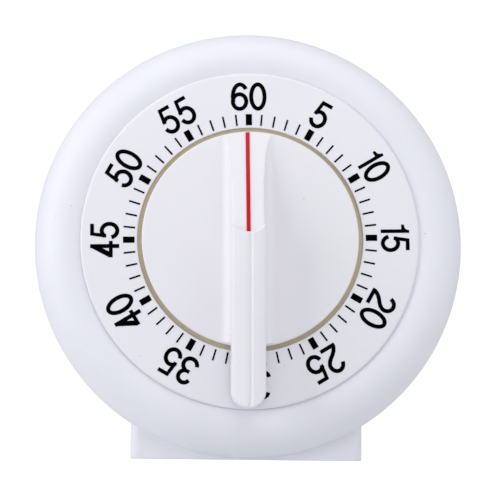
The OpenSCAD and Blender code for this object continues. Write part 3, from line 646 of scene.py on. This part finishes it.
def handle_ring(along, step):
    """The handle's outline across its length. step is 0 on the crown and 1 on the slope."""
    on_tail = along < -23.35
    half = bar_half
    if along < tail_round:
        half = math.sqrt(max(bar_half**2 - (along - tail_round) ** 2, 0.02))
    near_end = max(0, end_round - (along - tail_end))
    end_drop = end_round - math.sqrt(end_round**2 - min(near_end, 0.499) ** 2)
    stretch = max(0, 1 - abs(along - slope_start) / 5)

    def top(x):
        crown = crown_height - crown_radius + math.sqrt(crown_radius**2 - x * x)
        slope = slope_high - (along + bow(x) * stretch - slope_start) * slope_fall
        return crown * (1 - step) + slope * step - end_drop

    crest = top(half)
    fillet_top = disc_top + fillet
    low = tail_low if on_tail else fillet_top
    start = 0 if on_tail else math.asin(max(0, min(1, (fillet_top - crest) / fillet)))
    if crest > low + 0.05:
        edge = half - 0.08 * min(1, half)
        soft = min(0.5, (crest - low) * 0.8, 0.6 * half)
        below = (edge + 0.01, crest - soft)
    else:
        edge = half + fillet * (1 - math.cos(start))
        soft = 0.12
        later = min(start + 0.06, math.pi / 2)
        below = (half + fillet * (1 - math.cos(later)), fillet_top - fillet * math.sin(later))
    groove = min(0.55 - 0.12 * step, 0.4 * edge)
    middle = groove_shift * (1 - step) * min(1, edge / bar_half)
    depth = (0.3 + 0.05 * step) * min(1, edge)
    cut = [(0, 1), (0.12, 0.96), (0.3, 0.72), (0.7, 0.2), (0.86, 0.05), (1, 0)]
    if step > 0.5:
        cut = [(0, 1), (0.5, 1), (0.92, 1), (0.98, 0.9), (0.99, 0.1), (1, 0)]

    def across(side):
        """The top from the groove's bottom to one edge."""
        centre = middle * side
        half_line = [(centre + groove * x, top(centre + groove * x) - depth * z) for x, z in cut]
        first, last = centre + groove, edge - soft
        places = [first + (last - first) * i / 8 for i in range(1, 9)]
        return half_line + [(x, top(x)) for x in places]

    line = []
    a, c, b = across(1)[-1], (edge, top(edge)), below
    for i in range(1, 7):
        t = i / 6
        line.append(
            tuple((1 - t) ** 2 * a[k] + 2 * t * (1 - t) * c[k] + t * t * b[k] for k in (0, 1))
        )
    if on_tail:
        line += [(half, low + 0.4), (half, low)]
        line += [
            (half - 0.3 * (1 - math.cos(t)) * min(1, half), low - 0.3 * math.sin(t))
            for t in [math.pi / 2 * i / 10 for i in range(1, 11)]
        ]
        line += [(half * 0.4, low - 0.3), (0, low - 0.3)]
    else:
        wall_x, wall_z = below
        halfway = ((wall_x + half) / 2, (wall_z + low) / 2)
        line += [halfway, (half, low)] if start == 0 else [below, below]
        begin = 0 if start == 0 else later
        angles = [begin + (math.pi / 2 - begin) * i / 10 for i in range(1, 11)]
        line += [
            (half + fillet * (1 - math.cos(t)), fillet_top - fillet * math.sin(t)) for t in angles
        ]
        line += [(half + fillet, 0.4), (0, 0.4)]

    def placed(x, z):
        y = along + bow(x) * stretch
        if abs(x) > bar_half and not on_tail:
            reach = math.sqrt(disc_reach**2 - (x + bar_shift) ** 2)
            y = max(-reach, min(reach, y))
        return (x + bar_shift, y, z)

    right, left = across(1) + line, across(-1) + line
    return [placed(x, z) for x, z in right] + [placed(-x, z) for x, z in left[-2:0:-1]]


tail_rows = [
    tail_end + (tail_round - tail_end) * (1 - math.cos(math.pi / 2 * i / 14)) for i in range(15)
]
tail_rows += [-32.5, -30, -27, -24.5, -23.4, -23.3, -23.1, -22.8, -22.4, -21, -17, -12, -8, -5, -3]
tail_rows += [-1.5, -0.7]
step_rows = [(-0.2, 0), (0, 0), (0.12, 0.02), (0.22, 0.07), (0.28, 0.16), (0.36, 0.8), (0.42, 0.92),
             (0.52, 0.98), (0.7, 1)]
slope_rows = [1.4, 2, 3, 4.5, 6, 8, 10, 12, 13, 13.6, 14.2, 15, 16, 17, 18, 19, 20, 21, 22, 22.6]
slope_rows += [23, 23.2]
rows = [(y, 0) for y in tail_rows] + step_rows + [(y, 1) for y in slope_rows]
handle = skin([handle_ring(along, step) for along, step in rows])

disc_profile = [(0, disc_low), (disc_radius - 0.15, disc_low), (disc_radius, disc_low + 0.15)]
disc_profile += arc(disc_radius - disc_round, disc_top - disc_round, disc_round, disc_round, 0, 90, 8)
turn_knob = shape("turn_knob", turned(disc_profile + [(0, disc_top)]))
carve(turn_knob, "UNION", leaned(handle))
carve(turn_knob, "UNION", peg(5, 0.3, -1.2))
bore = [p for p in arc(0, 0, 2, 2, 0, 360, 47) if p[0] < 1.5]
carve(turn_knob, "DIFFERENCE", leaned(skin([[(x, y, z) for x, y in bore] for z in (-2, 5.5)])))
pocket = [(-2.85, -21.65), (1.45, -21.65), (1.45, -6), (-2.85, -6)]
carve(turn_knob, "DIFFERENCE", leaned(skin([[(x, y, z) for x, y in pocket] for z in (-1, 8.1)])))
finished(turn_knob, knob_plastic, "knob_plastic", "knob", "knob")


# ---- Pointer line ----
# A strip of red paint that fills the groove in the slope and stands a little proud of it.

finish = Finish("red_line_paint")
flow = finish.cloud(800, 3, (3, 1, 1))
red = finish.blend(flow, shade(0.66, 0.006, 0.02), shade(0.46, 0.004, 0.012))
red_paint = finish.surface(red, 0.4 + flow * 0.2, flow, 0.00002, specular_ior_level=0.2)


def line_ring(along, swell):
    """The strip's outline across its length, lower at its ends."""
    z = slope_high - (along - slope_start) * slope_fall
    half = 0.43
    upper = [(half - inset, z + rise * swell) for inset, rise in ((0, 0.12), (0.04, 0.2), (0.14, 0.25))]
    outline = [(-half, z - 0.35), (half, z - 0.35)] + upper + [(-x, up) for x, up in upper[::-1]]
    return [(x + bar_shift, along, up) for x, up in outline]


line_rows = [(0.42, 0.4), (0.48, 0.8), (0.62, 1), (23.1, 1), (23.35, 0.8), (23.42, 0.4)]
red_line = shape("red_line", leaned(skin([line_ring(along, swell) for along, swell in line_rows])))
finished(red_line, red_paint, "red_paint", "knob", "pointer_line")


# ---- Floor, light and camera ----
# A white table in a bright white room, with soft lamps at the left and above and a weaker one at
# the right. The camera stands low in front.

bpy.ops.mesh.primitive_plane_add(size=40, location=(0, 0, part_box("rear_housing")[0].z))
floor = bpy.context.object
floor.name = "floor"
finish = Finish("white_table")
fleck = finish.cloud(30, 3)
pale = finish.blend(fleck, shade(0.2, 0.2, 0.2), shade(0.18, 0.18, 0.18))
matt = finish.node("BsdfDiffuse", {}, {"Color": pale})
seen_glow = finish.node("Emission", {}, {"Color": shade(1, 1, 1), "Strength": 0.95})
lit_glow = finish.node("Emission", {}, {"Color": shade(0.97, 0.98, 1), "Strength": 0.6})
glow = finish.node("MixShader", {}, {0: finish.seen(), 1: lit_glow, 2: seen_glow})
finish.node("OutputMaterial", {}, {"Surface": finish.node("AddShader", {}, {0: matt, 1: glow})})
floor.data.materials.append(finish.material)

world = bpy.data.worlds.new("white_room")
bpy.context.scene.world = world
finish = Finish("white_room", world)
seen_room = finish.node("Background", {}, {"Color": shade(1, 1, 1), "Strength": 1.05})
lit_room = finish.node("Background", {}, {"Color": shade(0.97, 0.98, 1), "Strength": 0.4})
room = finish.node("MixShader", {}, {0: finish.seen(), 1: lit_room, 2: seen_room})
finish.node("OutputWorld", {}, {"Surface": room})

dial_centre = Vector((0, face_y, axis_z))


def lamp(name, side, up, front, size, power):
    """A square lamp at a place seen from the dial's middle, in metres, turned towards it."""
    light = bpy.data.lights.new(name, "AREA")
    light.size = size
    light.energy = power
    piece = bpy.data.objects.new(name, light)
    piece.location = dial_centre + Vector((side, -front, up))
    piece.rotation_mode = "QUATERNION"
    piece.rotation_quaternion = (dial_centre - piece.location).to_track_quat("-Z", "Y")
    bpy.context.scene.collection.objects.link(piece)


lamp("left_lamp", -0.55, 0.1, 0.25, 0.4, 1.9)
lamp("top_lamp", 0.05, 0.5, 0.3, 0.5, 1.5)
lamp("right_lamp", 0.5, 0.2, 0.3, 0.4, 0.65)

distance, below, left = 0.31, math.radians(7.84), math.radians(2.51)
aim_up, aim_left, roll = 0.0079, 0.0003, math.radians(-0.7)
lens = bpy.data.cameras.new("camera")
lens.lens = 102.5
lens.clip_start = 0.01
camera = bpy.data.objects.new("camera", lens)
camera.location = dial_centre + distance * Vector(
    (-math.sin(left) * math.cos(below), -math.cos(left) * math.cos(below), -math.sin(below))
)
facing = (dial_centre - camera.location).to_track_quat("-Z", "Y").to_matrix()
facing = facing @ Matrix.Rotation(-aim_up, 3, "X") @ Matrix.Rotation(aim_left, 3, "Y")
facing = facing @ Matrix.Rotation(-roll, 3, "Z")
camera.rotation_mode = "QUATERNION"
camera.rotation_quaternion = facing.to_quaternion()
bpy.context.scene.collection.objects.link(camera)
bpy.context.scene.camera = camera
bpy.context.scene.view_settings.view_transform = "Standard"
